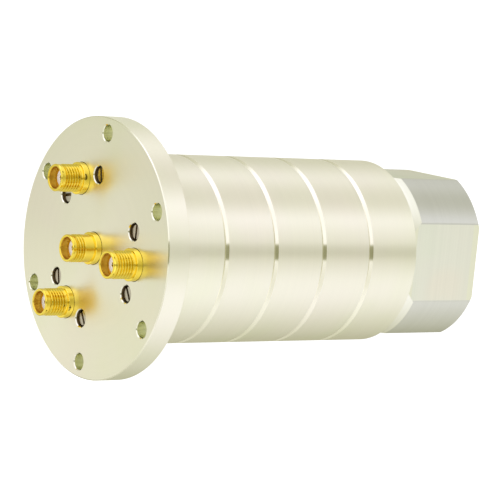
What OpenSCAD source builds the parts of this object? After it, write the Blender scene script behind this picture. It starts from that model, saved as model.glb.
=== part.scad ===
// Four-channel coaxial rotary joint (slip ring for radio-frequency lines).
// The shaft line is the X axis: the flange's outer face is X = 0, its jacks stand out towards -X,
// and the body runs towards +X. Angles are counted about +X from +Y towards +Z.

/* [Mounting flange] */
// Diameter of the mounting flange
flange_d = 60; // [59.5:0.5:76]
// Thickness of the mounting flange
flange_t = 5.8; // [5.4:0.1:9]
// Distance from the flange's rim to the circle of bolt holes
bolt_edge = 3.5; // [3.2:0.1:3.8]
// Diameter of each bolt hole
bolt_hole_d = 3.8; // [3.2:0.1:4.4]
// Number of bolt holes
bolt_count = 6; // [3, 6, 12]
// Chamfer round each bolt hole's mouth
bolt_hole_chamfer = 0.2; // [0.1:0.05:0.5]
// Chamfer along both edges of the flange's rim
rim_chamfer = 0.2; // [0.1:0.05:1]
// Width of the relief groove in the flange's rear face, round the foot of the body
seat_relief_w = 1; // [0.8:0.05:1.4]
// How far that groove reaches in under the foot of the body
seat_relief_under = 0.3; // [0.2:0.05:0.5]
// Depth of that groove
seat_relief_depth = 0.3; // [0.2:0.05:0.6]

/* [Body stack] */
// Outer diameter of the stacked housings
body_d = 43.8; // [43.4:0.2:46]
// Length of the front housing behind the flange
front_len = 15.85; // [15:0.05:24]
// Length of each housing behind the front one
module_len = 14; // [13.6:0.1:20]
// Chamfer on each side of a seam between housings
seam_chamfer = 0.65; // [0.2:0.05:1]
// Bore that the couplers sit in
chamber_d = 27; // [26.4:0.1:28]
// Thickness of the web at the front of a channel housing
web_t = 2; // [1.5:0.1:3]
// Bore through that web
web_bore_d = 20; // [19:0.1:21]
// Length of the locating spigot on each housing's front
spigot_len = 1.5; // [1:0.1:1.8]

/* [Rotor block] */
// Width across the four milled flats
across_flats = 38; // [36:0.5:40]
// Height of the arcs between the flats above them
arc_rise = 2.3; // [1.9:0.1:2.6]
// Length of the rotor block
block_len = 21.1; // [20.6:0.1:21.6]
// Height of the block's front face above the flats, where its cone starts
face_rise = 1; // [0.6:0.05:1.2]
// Angle of the cone at the block's front, measured from the shaft line
cone_angle = 27; // [25:1:32]
// Running gap between the rear housing and the rotor block
rotor_gap = 0.4; // [0.3:0.05:0.8]
// Turn of the flats about the shaft line
block_turn = 11.5; // [0:0.5:89]
// Thickness of the block's web that carries the shaft
block_web_t = 5.45; // [4:0.05:6]
// Wall left between the end plate and a flat
block_wall = 1.5; // [1.2:0.1:2]
// Distance from the end plate's edge to the circle of its screws
end_screw_edge = 2.1; // [2:0.1:2.4]
// Distance from that circle to the hollow that holds the leads
hollow_ledge = 1.4; // [1.3:0.1:1.6]
// Thickness of the end plate
end_plate_t = 4; // [3.4:0.1:4.6]
// Chamfer round the block's rear edge
rear_chamfer = 0.5; // [0.1:0.1:1]

/* [Shaft and bearings] */
// Outer diameter of the hollow shaft
shaft_d = 15; // [14.6:0.1:15.2]
// Bore of the hollow shaft
shaft_bore_d = 11; // [10.8:0.1:11.4]
// Clearance all round the shaft's rear flange, in the block's hollow
shaft_flange_gap = 1; // [0.6:0.1:1.4]
// Thickness of the shaft's rear flange
shaft_flange_t = 2.5; // [2:0.1:3]
// Outer diameter of both ball bearings
bearing_od = 24; // [23.6:0.1:24.4]
// Width of both ball bearings
bearing_w = 5; // [4.6:0.1:5.4]
// Share of a bearing's depth, from its bore to its outside, that a ball fills
ball_fill = 0.622; // [0.54:0.002:0.66]
// Number of balls in a bearing
ball_count = 13; // [9:1:14]
// Depth of the chamber in front of the front bearing
nut_chamber_len = 6.5; // [6.3:0.1:7]
// Length of the shaft's locknut
nut_len = 2.8; // [2:0.1:3]
// Outer diameter of the shaft's locknut
nut_d = 19.4; // [18.4:0.2:20]

/* [Coaxial jacks] */
// Diameter of the circle that the three outer jacks stand on, at the flange
jack_circle_d = 33.5; // [33:0.1:34]
// The same circle at the rotor's end plate
rotor_jack_circle_d = 21; // [20.4:0.1:21.6]
// Height of a jack above the face that it stands on
jack_height = 7.2; // [6.6:0.1:9]
// Thread diameter of a jack
jack_thread_d = 6.35; // [6.2:0.05:6.4]
// Length of the plain ring in front of the thread
jack_ring_len = 1.3; // [0.8:0.1:2]
// Width of the relief groove between the ring and the thread
jack_groove_w = 0.2; // [0.1:0.05:0.4]
// Depth of that groove
jack_groove_depth = 0.4; // [0.2:0.05:0.5]
// Diameter of the collar behind the thread
jack_collar_d = 7.4; // [7:0.1:7.8]
// Height of the collar above the face
jack_collar_h = 1.4; // [1:0.1:2]
// Diameter of a jack's open mouth
jack_mouth_d = 4.9; // [4.4:0.05:5]
// Depth of a jack's open mouth, down to its insulator
jack_mouth_depth = 2; // [1.5:0.1:2.5]
// Diameter of a jack's insulator
insulator_d = 4.1; // [3.9:0.05:4.2]
// Diameter of a jack's centre contact
contact_d = 1.27; // [1.1:0.01:1.4]
// Diameter of an outer jack's flange, held behind the mounting flange
jack_foot_d = 9; // [8.6:0.1:9.2]
// Thickness of that flange
jack_foot_t = 2; // [1.6:0.1:2.4]

/* [Screws] */
// Angle from each outer jack to the slotted screws beside it
screw_spread = 25; // [24:0.5:27]
// Shank diameter of the flange and housing screws
screw_d = 2.2; // [2:0.1:2.4]
// Head diameter of the flange and housing screws
screw_head_d = 3.6; // [3.4:0.1:4]
// Head height of the flange and housing screws
screw_head_h = 1.6; // [1.2:0.1:1.8]
// Depth of a flange screw's head below the face
screw_recess = 0.7; // [0.3:0.1:1]
// Width of a screw's slot
slot_w = 0.7; // [0.5:0.05:0.9]
// Distance from the body's skin to the circle of screws that join the housings
housing_screw_edge = 3.9; // [3.7:0.05:4]
// Shank diameter of the end plate's screws
end_screw_d = 2; // [1.6:0.1:2.2]
// Head diameter of the end plate's screws
end_screw_head_d = 3.6; // [3.2:0.1:3.8]

/* [Coaxial lines] */
// Diameter of the semi-rigid leads to the coupled channels
lead_d = 2.2; // [1.8:0.1:2.3]
// Bend radius of the leads where they turn into a coupler
lead_bend_r = 2.4; // [2.2:0.1:2.6]
// Diameter of the centre channel's line
centre_line_d = 3.6; // [3.2:0.1:3.8]
// Distance of the rotor leads' centres from the shaft line, inside the shaft
lead_orbit_r = 3.9; // [3.8:0.05:4]
// Thickness of a coupler's disc
coupler_t = 3; // [2.4:0.1:3.4]
// Running gap between a stator coupler and a rotor coupler
coupler_gap = 0.5; // [0.3:0.05:1]
// Diameter of a rotor coupler's disc
rotor_coupler_d = 25; // [24:0.1:25.4]
// Diameter of the sleeves that the rotor stack is spaced by
sleeve_d = 18; // [17.6:0.1:18.2]

/* [Fits] */
// Clearance all round between pieces that fit in each other
fit_gap = 0.04; // [0.02:0.01:0.08]
// Clearance all round a screw, a lead or a jack in its hole
hole_gap = 0.1; // [0.05:0.01:0.2]
// Clearance between a ball and its tracks
ball_gap = 0.05; // [0.03:0.01:0.08]
// Facets round a full turn
$fn = 96; // [48:24:144]

/* [Hidden] */

// Colours of the finishes
ALUMINIUM = [0.86, 0.84, 0.74];
GOLD = [0.93, 0.72, 0.20];
STEEL = [0.62, 0.62, 0.60];
BRIGHT_STEEL = [0.78, 0.79, 0.80];
DARK_STEEL = [0.25, 0.25, 0.26];
PTFE = [0.95, 0.94, 0.92];
COPPER = [0.78, 0.52, 0.36];
SILVER = [0.84, 0.84, 0.82];
CAGE_NYLON = [0.80, 0.74, 0.58];
SEAL_RUBBER = [0.10, 0.10, 0.10];

// Over-cut that keeps a cutter clear of the face it leaves by
CUT = 1;
// Smallest step that a corner or an edge is broken by
EDGE = 0.2;

// Number of coupled channels, each in a housing of its own
channel_count = 3;

// Angles of the outer jacks, of the bolt holes and of the rotor's jacks
JACK_TURN = 75;
JACK_STEP = 120;
BOLT_TURN = 45;
ROTOR_JACK_TURN = block_turn;

// Stations along the shaft line
body_front = flange_t;
stack_front = body_front + front_len;
rear_housing_front = stack_front + channel_count * module_len;
body_rear = rear_housing_front + module_len;
block_front = body_rear + rotor_gap;
block_rear = block_front + block_len;
web_rear = block_front + block_web_t;
end_plate_front = block_rear - end_plate_t;

// Circles and diameters that follow from the sizes above
bolt_circle_d = flange_d - 2 * bolt_edge;
housing_screw_circle_d = body_d - 2 * housing_screw_edge;
block_d = across_flats + 2 * arc_rise;
block_face_d = across_flats + 2 * face_rise;
end_plate_d = across_flats - 2 * block_wall;
end_screw_circle_d = end_plate_d - 2 * end_screw_edge;
hollow_d = end_screw_circle_d - 2 * hollow_ledge;
shaft_flange_d = hollow_d - 2 * shaft_flange_gap;
shaft_screw_circle_d = (shaft_flange_d + shaft_d) / 2;

// Bearings, circlips and seal
front_bearing_z = body_front + nut_chamber_len;
// The rear bearing's place follows from the rotor stack, whose couplers are a housing apart
first_coupler_z = stack_front + web_t + coupler_t + coupler_gap;
rear_bearing_z = first_coupler_z + channel_count * module_len;
bearing_pitch_d = (shaft_d + bearing_od) / 2;
ball_d = ball_fill * (bearing_od - shaft_d) / 2;
// Height of a bearing ring's shoulder over the pitch circle, as a share of a ball
SHOULDER_SHARE = 0.32;
race_shoulder = ball_d * SHOULDER_SHARE;
bearing_inner_d = bearing_pitch_d - 2 * race_shoulder;
bearing_outer_d = bearing_pitch_d + 2 * race_shoulder;
// The seat behind an outer ring stands this much inside the ring's own bore
SEAT_STEP = 0.3;
bearing_shoulder_d = bearing_outer_d - SEAT_STEP;
// Room that the cage leaves to both rings together
CAGE_ROOM = 0.5;
cage_wall = 2 * race_shoulder - CAGE_ROOM;
nut_slot_depth = 1;
nut_slot_w = 3;
cage_finger = 0.9;
cage_rail = 0.8;
circlip_t = 1.2;
circlip_depth = 0.6;
circlip_reach = 1.3;
circlip_gap_w = 4;
circlip_ear_offset = 3.2;
circlip_ear_d = 2.4;
circlip_eye_d = 1.1;
seal_stand_off = 0.4;
seal_z = rear_bearing_z + bearing_w + circlip_t + seal_stand_off;
seal_t = body_rear - EDGE - seal_z;
seal_lip_t = 0.5;
seal_case_wall = 0.75;

// Register between housings
register_depth = spigot_len + hole_gap;
passage_gap = 0.4;
passage_d = lead_d + 2 * passage_gap;

// Jacks
jack_foot_front = flange_t - jack_foot_t;
jack_bore_d = jack_collar_d + 2 * hole_gap;
stub_d = 5.6;
stub_counterbore = 1.2;
jack_groove_d = jack_thread_d - 2 * jack_groove_depth;
mouth_lip = 0.15;
contact_bore_d = 0.93;
contact_bore_depth = 2.5;
contact_slit_w = 0.2;
contact_slit_len = 1.75;

// Screws
flange_screw_reach = 6;
screw_recess_d = screw_head_d + 4 * hole_gap;
housing_screw_bite = 4.5;
housing_screw_head_h = 2.5;
housing_screw_sink = 3;
socket_af = 2;
socket_depth = 1.2;
slot_depth = 0.8;
HOUSING_SCREW_TURN = 3;
HOUSING_SCREW_SHIFT = 24;
shaft_screw_count = 4;
shaft_screw_reach = 4.2;
end_screw_head_h = 1.3;
end_screw_recess = 0.3;
end_screw_reach = 4;
end_screw_count = 6;

// Coaxial lines
centre_gap = 0.3;
choke_len = 9;
line_overrun = 3;
stator_line_end = front_bearing_z + bearing_w + line_overrun;
choke_front = stator_line_end - choke_len / 2;
port_depth = 1.2;
track_d = (rotor_coupler_d + sleeve_d) / 2;
track_w = 1.6;
track_depth = 0.8;
coupler_bore_gap = 0.5;
stator_coupler_bore_d = sleeve_d + 2 * coupler_bore_gap;
rotor_bend_r = (rotor_jack_circle_d / 2 - lead_orbit_r) / 2;
lead_end_z = end_plate_front;

// ---------------------------------------------------------------- helpers

// Turns the drawing frame, whose z is the shaft line, into the model's own frame
module along_x() rotate([90, 0, 90]) children();

// Places a child at a radius and an angle round the shaft line
module polar(r, a) rotate([0, 0, a]) translate([r, 0, 0]) children();

// A plain disc between two stations
module disc(z0, z1, d) translate([0, 0, z0]) cylinder(d = d, h = z1 - z0);

// A plain tube between two stations
module tube(z0, z1, d_out, d_in) difference() {
  disc(z0, z1, d_out);
  disc(z0 - CUT, z1 + CUT, d_in);
}

// A cone between two stations
module taper(z0, z1, d0, d1) translate([0, 0, z0]) cylinder(d1 = d0, d2 = d1, h = z1 - z0);

// A disc with its edges chamfered by c0 at the front and c1 at the rear
module chamfered_disc(z0, z1, d, c0, c1) rotate_extrude() polygon([
  [0, z0], [d / 2 - c0, z0], [d / 2, z0 + c0], [d / 2, z1 - c1], [d / 2 - c1, z1], [0, z1]
]);

// The ring that cuts a ball track, round a circle of diameter d at station z
module track_cut(z, d) translate([0, 0, z]) rotate_extrude()
  translate([d / 2, 0]) circle(r = ball_d / 2 + ball_gap);

function jack_angle(i) = JACK_TURN + JACK_STEP * (i - 2);
function rotor_jack_angle(i) = ROTOR_JACK_TURN + JACK_STEP * (i - 2);
// Station of a joint between housings, counted from the front housing's rear face
function joint_z(joint) = stack_front + joint * module_len;
function housing_z(i) = joint_z(i - 2);
function coupler_z(i) = first_coupler_z + (i - 2) * module_len;
function ball_angle(k) = (k + 0.5) * 360 / ball_count;
function screw_turn(joint) = HOUSING_SCREW_TURN + HOUSING_SCREW_SHIFT * (joint % 2);

// ---------------------------------------------------------------- flange and housings

// Holes for the slotted screws on both sides of each outer jack
module each_flange_screw() for (i = [2 : 4], side = [-1, 1])
  polar(jack_circle_d / 2, jack_angle(i) + side * screw_spread) children();

module mounting_flange() color(ALUMINIUM) along_x() difference() {
  union() {
    chamfered_disc(0, flange_t, flange_d, rim_chamfer, rim_chamfer);
    disc(flange_t, flange_t + spigot_len, bearing_shoulder_d - 2 * fit_gap);
  }
  for (k = [0 : bolt_count - 1]) polar(bolt_circle_d / 2, BOLT_TURN + k * 360 / bolt_count) {
    disc(-CUT, flange_t + CUT, bolt_hole_d);
    taper(-EDGE, bolt_hole_chamfer, bolt_hole_d + 2 * (bolt_hole_chamfer + EDGE), bolt_hole_d);
    taper(flange_t - bolt_hole_chamfer, flange_t + EDGE, bolt_hole_d,
      bolt_hole_d + 2 * (bolt_hole_chamfer + EDGE));
  }
  for (i = [2 : 4]) polar(jack_circle_d / 2, jack_angle(i)) {
    disc(-CUT, flange_t + CUT, jack_bore_d);
    disc(jack_foot_front, flange_t + CUT, jack_foot_d + 2 * hole_gap);
  }
  disc(-CUT, stub_counterbore, jack_bore_d);
  disc(-CUT, flange_t + spigot_len + CUT, stub_d + 2 * fit_gap);
  each_flange_screw() {
    disc(-CUT, flange_t + CUT, screw_d + 2 * hole_gap);
    disc(-CUT, screw_recess + screw_head_h, screw_recess_d);
    taper(-EDGE, EDGE, screw_recess_d + 4 * EDGE, screw_recess_d);
  }
  tube(flange_t - seat_relief_depth, flange_t + CUT, body_d + 2 * seat_relief_w,
    body_d - 2 * seat_relief_under);
}

// Passages for the leads, all through a housing
module lead_passages(z0, z1) for (i = [2 : 4])
  polar(jack_circle_d / 2, jack_angle(i)) disc(z0 - CUT, z1 + CUT, passage_d);

// Tapped holes in a housing's rear face, for the screws of the housing behind it
module tapped_holes(z_face, joint) for (k = [0 : 2])
  polar(housing_screw_circle_d / 2, screw_turn(joint) + k * JACK_STEP)
    disc(z_face - housing_screw_bite - 2 * EDGE, z_face + CUT, screw_d + 2 * fit_gap);

// Counterbored holes for a housing's own screws
module screw_bores(z0, z1, joint) for (k = [0 : 2])
  polar(housing_screw_circle_d / 2, screw_turn(joint) + k * JACK_STEP) {
    disc(z0 - CUT, z1 + CUT, screw_d + 2 * hole_gap);
    disc(z1 - housing_screw_sink, z1 + CUT, screw_head_d + 2 * hole_gap);
  }

// Groove for an internal circlip
module circlip_groove(z) disc(z, z + circlip_t + hole_gap, bearing_od + 2 * circlip_depth + 2 * hole_gap);

module front_housing() color(ALUMINIUM) along_x() difference() {
  chamfered_disc(body_front, stack_front, body_d, 0, seam_chamfer);
  disc(body_front - CUT, stack_front + CUT, bearing_shoulder_d);
  disc(front_bearing_z, stack_front + CUT, bearing_od + 2 * fit_gap);
  circlip_groove(front_bearing_z + bearing_w);
  disc(stack_front - register_depth, stack_front + CUT, chamber_d);
  lead_passages(body_front, stack_front);
  each_flange_screw()
    disc(body_front - CUT, body_front + flange_screw_reach + 2 * EDGE, screw_d + 2 * fit_gap);
  tapped_holes(stack_front, 0);
}

// What every housing behind the front one has: its chamfered barrel and its locating spigot
module housing_blank(z0, z1, rear_edge) union() {
  chamfered_disc(z0, z1, body_d, seam_chamfer, rear_edge);
  disc(z0 - spigot_len, z0 + seam_chamfer, chamber_d - 2 * fit_gap);
}

// The window through which a lead bends inwards to its coupler
module lead_window(z0, z1, a) rotate([0, 0, a])
  translate([web_bore_d / 2, -passage_d / 2, z0]) cube([(jack_circle_d - web_bore_d) / 2, passage_d, z1 - z0]);

module channel_housing(i) {
  z0 = housing_z(i);
  z1 = z0 + module_len;
  color(ALUMINIUM) along_x() difference() {
    housing_blank(z0, z1, seam_chamfer);
    disc(z0 - spigot_len - CUT, z1 + CUT, web_bore_d);
    disc(z0 + web_t, z1 + CUT, chamber_d);
    lead_passages(z0 - spigot_len, z1);
    lead_window(z0 - spigot_len - CUT, z0 + web_t + coupler_t / 2 + passage_d / 2, jack_angle(i));
    screw_bores(z0, z1, i - 2);
    tapped_holes(z1, i - 1);
  }
}

module rear_housing() color(ALUMINIUM) along_x() difference() {
  housing_blank(rear_housing_front, body_rear, EDGE);
  disc(rear_housing_front - spigot_len - CUT, body_rear + CUT, bearing_shoulder_d);
  disc(rear_bearing_z, body_rear + CUT, bearing_od + 2 * fit_gap);
  circlip_groove(rear_bearing_z + bearing_w);
  screw_bores(rear_housing_front, body_rear, channel_count);
}

// ---------------------------------------------------------------- screws

// A slotted cheese-head screw: head outwards at z = 0, shank towards +z
module slotted_screw(head_d, head_h, shank_d, reach) difference() {
  union() {
    chamfered_disc(0, head_h, head_d, EDGE, 0);
    chamfered_disc(head_h - EDGE, head_h + reach, shank_d, 0, EDGE);
  }
  translate([-head_d, -slot_w / 2, -CUT]) cube([2 * head_d, slot_w, CUT + slot_depth]);
}

// A socket-head screw: head outwards at z = 0, shank towards +z
module socket_screw(head_d, head_h, shank_d, reach) difference() {
  union() {
    chamfered_disc(0, head_h, head_d, EDGE, 0);
    chamfered_disc(head_h - EDGE, head_h + reach, shank_d, 0, EDGE);
  }
  disc(-CUT, socket_depth, socket_af, $fn = 6);
}

// The turn of each slot, as the screws came to rest when they were tightened
SLOT_TURNS = [[-50, -10], [-67, 30], [140, 108]];

module flange_screws() color(STEEL) along_x() for (i = [2 : 4], side = [0, 1])
  polar(jack_circle_d / 2, jack_angle(i) + (2 * side - 1) * screw_spread)
    translate([0, 0, screw_recess]) rotate([0, 0, SLOT_TURNS[i - 2][side]])
      slotted_screw(screw_head_d, screw_head_h, screw_d,
        body_front + flange_screw_reach - screw_recess - screw_head_h);

module housing_screws() color(DARK_STEEL) along_x()
  for (joint = [0 : channel_count], k = [0 : 2])
    polar(housing_screw_circle_d / 2, screw_turn(joint) + k * JACK_STEP)
      translate([0, 0, joint_z(joint) + module_len - housing_screw_sink + housing_screw_head_h])
        mirror([0, 0, 1]) socket_screw(screw_head_d, housing_screw_head_h, screw_d,
          module_len - housing_screw_sink + housing_screw_bite);

// ---------------------------------------------------------------- jacks

// A jack standing towards -z on the face z = 0: mouth, plain ring, groove, thread and collar
module jack_front() rotate_extrude() polygon([
  [insulator_d / 2, 0],
  [insulator_d / 2, jack_mouth_depth - jack_height],
  [jack_mouth_d / 2, jack_mouth_depth - jack_height],
  [jack_mouth_d / 2, mouth_lip - jack_height],
  [jack_mouth_d / 2 + mouth_lip, -jack_height],
  [jack_thread_d / 2 - EDGE, -jack_height],
  [jack_thread_d / 2, EDGE - jack_height],
  [jack_thread_d / 2, jack_ring_len - jack_height],
  [jack_groove_d / 2, jack_ring_len - jack_height],
  [jack_groove_d / 2, jack_ring_len + jack_groove_w - jack_height],
  [jack_thread_d / 2, jack_ring_len + jack_groove_w - jack_height],
  [jack_thread_d / 2, -jack_collar_h],
  [jack_collar_d / 2, -jack_collar_h],
  [jack_collar_d / 2, 0]
]);

// An outer jack: its foot is held in a pocket behind the mounting flange
module footed_jack() union() {
  jack_front();
  tube(0, jack_foot_front + EDGE, jack_collar_d, insulator_d);
  tube(jack_foot_front + EDGE / 2, flange_t, jack_foot_d, insulator_d);
}

// A jack that is screwed into its plate from outside
module stub_jack(plate_t) union() {
  jack_front();
  tube(0, stub_counterbore - EDGE / 2, jack_collar_d, insulator_d);
  tube(stub_counterbore - EDGE, plate_t, stub_d, insulator_d);
}

// A jack's insulator, from the bottom of the mouth to the back
module insulator(back) tube(jack_mouth_depth - jack_height, back, insulator_d - 2 * fit_gap,
  contact_d + 2 * fit_gap);

// A jack's centre contact: a slit socket with a solid tail
module contact(back) difference() {
  disc(jack_mouth_depth - jack_height - EDGE, back, contact_d);
  disc(jack_mouth_depth - jack_height - CUT, contact_bore_depth + jack_mouth_depth - jack_height,
    contact_bore_d);
  for (a = [0, 90]) rotate([0, 0, a])
    translate([-contact_d, -contact_slit_w / 2, jack_mouth_depth - jack_height - CUT])
      cube([2 * contact_d, contact_slit_w, CUT + contact_slit_len]);
}

module flange_jack(i) color(GOLD) along_x()
  if (i == 1) stub_jack(flange_t + spigot_len);
  else polar(jack_circle_d / 2, jack_angle(i)) footed_jack();

// The back of each flange jack: the centre one is longer
function jack_back(i) = i == 1 ? flange_t + spigot_len : flange_t;

// Puts a child at each flange jack
module at_flange_jack(i) if (i == 1) children(); else polar(jack_circle_d / 2, jack_angle(i)) children();

module flange_insulators() color(PTFE) along_x() for (i = [1 : 4])
  at_flange_jack(i) insulator(jack_back(i));

module flange_contacts() color(GOLD) along_x() for (i = [1 : 4])
  at_flange_jack(i) contact(jack_back(i));

// Puts a child at each rotor jack, facing the rear
module at_rotor_jack(i) translate([0, 0, block_rear]) mirror([0, 0, 1])
  if (i == 1) children(); else polar(rotor_jack_circle_d / 2, rotor_jack_angle(i)) children();

module rotor_jack(i) color(GOLD) along_x() at_rotor_jack(i) stub_jack(end_plate_t);

module rotor_insulators() color(PTFE) along_x() for (i = [1 : 4]) at_rotor_jack(i) insulator(end_plate_t);

module rotor_contacts() color(GOLD) along_x() for (i = [1 : 4]) at_rotor_jack(i) contact(end_plate_t);

// ---------------------------------------------------------------- bearings, circlips and seal

module bearing_outer_ring(z) color(BRIGHT_STEEL) along_x() difference() {
  chamfered_disc(z, z + bearing_w, bearing_od, EDGE, EDGE);
  disc(z - CUT, z + bearing_w + CUT, bearing_outer_d);
  track_cut(z + bearing_w / 2, bearing_pitch_d);
}

module bearing_inner_ring(z) color(BRIGHT_STEEL) along_x() difference() {
  disc(z, z + bearing_w, bearing_inner_d);
  disc(z - CUT, z + bearing_w + CUT, shaft_d + 2 * fit_gap);
  track_cut(z + bearing_w / 2, bearing_pitch_d);
}

// Puts a child at each ball of a bearing
module each_ball(z) for (k = [0 : ball_count - 1])
  polar(bearing_pitch_d / 2, ball_angle(k)) translate([0, 0, z + bearing_w / 2]) children();

module bearing_balls(z) color(BRIGHT_STEEL) along_x() each_ball(z) sphere(d = ball_d);

// A crown cage: a rail behind the balls, with fingers between them
module bearing_cage(z) {
  mid = z + bearing_w / 2;
  rail_z = mid + ball_d / 2 + ball_gap;
  color(CAGE_NYLON) along_x() difference() {
    tube(mid - cage_finger, rail_z + cage_rail, bearing_pitch_d + cage_wall, bearing_pitch_d - cage_wall);
    for (k = [0 : ball_count - 1]) rotate([0, 0, ball_angle(k)])
      translate([shaft_d / 2, -ball_d / 2 - ball_gap, mid - cage_finger - CUT])
        cube([bearing_od / 2, ball_d + 2 * ball_gap, cage_finger + CUT + ball_d / 2 + ball_gap]);
  }
}

// An internal circlip with its gap and its two eyelets
module circlip(z) color(DARK_STEEL) along_x() difference() {
  union() {
    tube(z + hole_gap / 2, z + circlip_t, bearing_od + 2 * circlip_depth,
      bearing_od + 2 * circlip_depth - 2 * circlip_reach);
    for (side = [-1, 1]) translate([(bearing_od - circlip_ear_d) / 2, side * circlip_ear_offset, 0])
      disc(z + hole_gap / 2, z + circlip_t, circlip_ear_d);
  }
  translate([0, -circlip_gap_w / 2, z - CUT]) cube([bearing_od, circlip_gap_w, circlip_t + 2 * CUT]);
  for (side = [-1, 1]) translate([(bearing_od - circlip_ear_d) / 2, side * circlip_ear_offset, 0])
    disc(z - CUT, z + circlip_t + CUT, circlip_eye_d);
}

// A lip seal: its case is held in the rear housing and its lip runs on the rear spacer
module shaft_seal() color(SEAL_RUBBER) along_x() difference() {
  disc(seal_z, seal_z + seal_t, bearing_od);
  disc(seal_z - CUT, seal_z + seal_t + CUT, sleeve_d + 2 * fit_gap);
  tube(seal_z - CUT, seal_z + seal_t - seal_lip_t, bearing_od - 2 * seal_case_wall, sleeve_d + 2 * seal_lip_t);
}

// ---------------------------------------------------------------- rotor

// A ball on the shaft line, whose surface passes through radius r0 at station z0 and r1 at z1
module ball_through(r0, z0, r1, z1) {
  centre = (r1 * r1 + z1 * z1 - r0 * r0 - z0 * z0) / 2 / (z1 - z0);
  translate([0, 0, centre]) sphere(r = norm([r0, z0 - centre]));
}

// The block's outline: a cylinder with four milled flats, its front turned down to a shallow cone,
// slightly crowned, and its rear edge broken in the same way
module block_outline() {
  cone_len = (block_d - block_face_d) / 2 / tan(cone_angle);
  intersection() {
    disc(block_front, block_rear, block_d);
    ball_through(block_face_d / 2, block_front, block_d / 2, block_front + cone_len);
    ball_through(block_d / 2, block_rear - rear_chamfer, block_d / 2 - rear_chamfer, block_rear);
    rotate([0, 0, block_turn]) translate([-across_flats / 2, -across_flats / 2, block_front - CUT])
      cube([across_flats, across_flats, block_len + 2 * CUT]);
  }
}

module each_shaft_screw() for (k = [0 : shaft_screw_count - 1])
  polar(shaft_screw_circle_d / 2, block_turn + k * 360 / shaft_screw_count) children();

module each_end_screw() for (k = [0 : end_screw_count - 1])
  polar(end_screw_circle_d / 2, ROTOR_JACK_TURN + (k + 0.5) * 360 / end_screw_count) children();

module rotor_block() color(ALUMINIUM) along_x() difference() {
  block_outline();
  disc(block_front - CUT, block_rear + CUT, shaft_d + 2 * fit_gap);
  disc(web_rear, block_rear + CUT, hollow_d);
  disc(end_plate_front, block_rear + CUT, end_plate_d);
  each_shaft_screw() disc(web_rear - shaft_screw_reach - EDGE, web_rear + CUT, screw_d + 2 * fit_gap);
  each_end_screw()
    disc(end_plate_front - end_screw_reach - EDGE, end_plate_front + CUT, end_screw_d + 2 * fit_gap);
}

module rotor_end_plate() color(ALUMINIUM) along_x() difference() {
  chamfered_disc(end_plate_front, block_rear, end_plate_d - 2 * fit_gap, 0, EDGE);
  for (i = [1 : 4]) at_rotor_jack(i) {
    disc(-CUT, stub_counterbore, jack_bore_d);
    disc(-CUT, end_plate_t + CUT, stub_d + 2 * fit_gap);
  }
  each_end_screw() {
    disc(end_plate_front - CUT, block_rear + CUT, end_screw_d + 2 * hole_gap);
    disc(block_rear - end_screw_recess - end_screw_head_h, block_rear + CUT,
      end_screw_head_d + 2 * hole_gap);
  }
}

module end_plate_screws() color(STEEL) along_x() each_end_screw()
  translate([0, 0, block_rear - end_screw_recess]) mirror([0, 0, 1]) slotted_screw(end_screw_head_d,
    end_screw_head_h, end_screw_d,
    end_plate_t - end_screw_recess - end_screw_head_h + end_screw_reach);

module shaft_screws() color(DARK_STEEL) along_x() each_shaft_screw()
  translate([0, 0, web_rear + shaft_flange_t + screw_head_h]) mirror([0, 0, 1])
    socket_screw(screw_head_d, screw_head_h, screw_d, shaft_flange_t + shaft_screw_reach);

// The slot in the shaft's wall through which a rotor lead goes in
module shaft_window(i) rotate([0, 0, rotor_jack_angle(i)])
  translate([0, -lead_d / 2 - hole_gap, coupler_z(i) + coupler_t / 2 - lead_d / 2 - hole_gap])
    cube([shaft_d, lead_d + 2 * hole_gap, lead_bend_r + lead_d + 2 * hole_gap]);

module rotor_shaft() color(BRIGHT_STEEL) along_x() difference() {
  union() {
    chamfered_disc(front_bearing_z - nut_len - EDGE, web_rear + EDGE, shaft_d, EDGE, 0);
    disc(web_rear, web_rear + shaft_flange_t, shaft_flange_d);
  }
  disc(body_front, web_rear + shaft_flange_t + CUT, shaft_bore_d);
  for (i = [2 : channel_count + 1]) shaft_window(i);
  each_shaft_screw() disc(web_rear - CUT, web_rear + shaft_flange_t + CUT, screw_d + 2 * hole_gap);
}

module shaft_locknut() color(DARK_STEEL) along_x() difference() {
  chamfered_disc(front_bearing_z - nut_len, front_bearing_z, nut_d, EDGE, EDGE);
  disc(front_bearing_z - nut_len - CUT, front_bearing_z + CUT, shaft_d + 2 * fit_gap);
  for (a = [0, 90, 180, 270]) polar(nut_d / 2 - nut_slot_depth, a)
    translate([0, -nut_slot_w / 2, front_bearing_z - nut_len - CUT])
      cube([nut_slot_depth + CUT, nut_slot_w, nut_len + 2 * CUT]);
}

// A spacing sleeve on the shaft
module sleeve(z0, z1) tube(z0, z1, sleeve_d, shaft_d + 2 * fit_gap);

module front_spacer() color(BRIGHT_STEEL) along_x() sleeve(front_bearing_z + bearing_w, first_coupler_z);

module rear_spacer() color(BRIGHT_STEEL) along_x() sleeve(rear_bearing_z + bearing_w, block_front);

// ---------------------------------------------------------------- couplers

// The annular track that carries the signal, cut into a coupler's face
module signal_track(z0, z1) tube(z0, z1, track_d + track_w, track_d - track_w);

module stator_coupler(i) {
  z0 = housing_z(i) + web_t;
  color(SILVER) along_x() difference() {
    tube(z0, z0 + coupler_t, chamber_d - 2 * fit_gap, stator_coupler_bore_d);
    signal_track(z0 + coupler_t - track_depth, z0 + coupler_t + CUT);
    polar(chamber_d / 2 - port_depth, jack_angle(i)) translate([0, 0, z0 + coupler_t / 2])
      rotate([0, 90, 0]) cylinder(d = lead_d + 2 * fit_gap, h = port_depth + CUT);
  }
}

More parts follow.
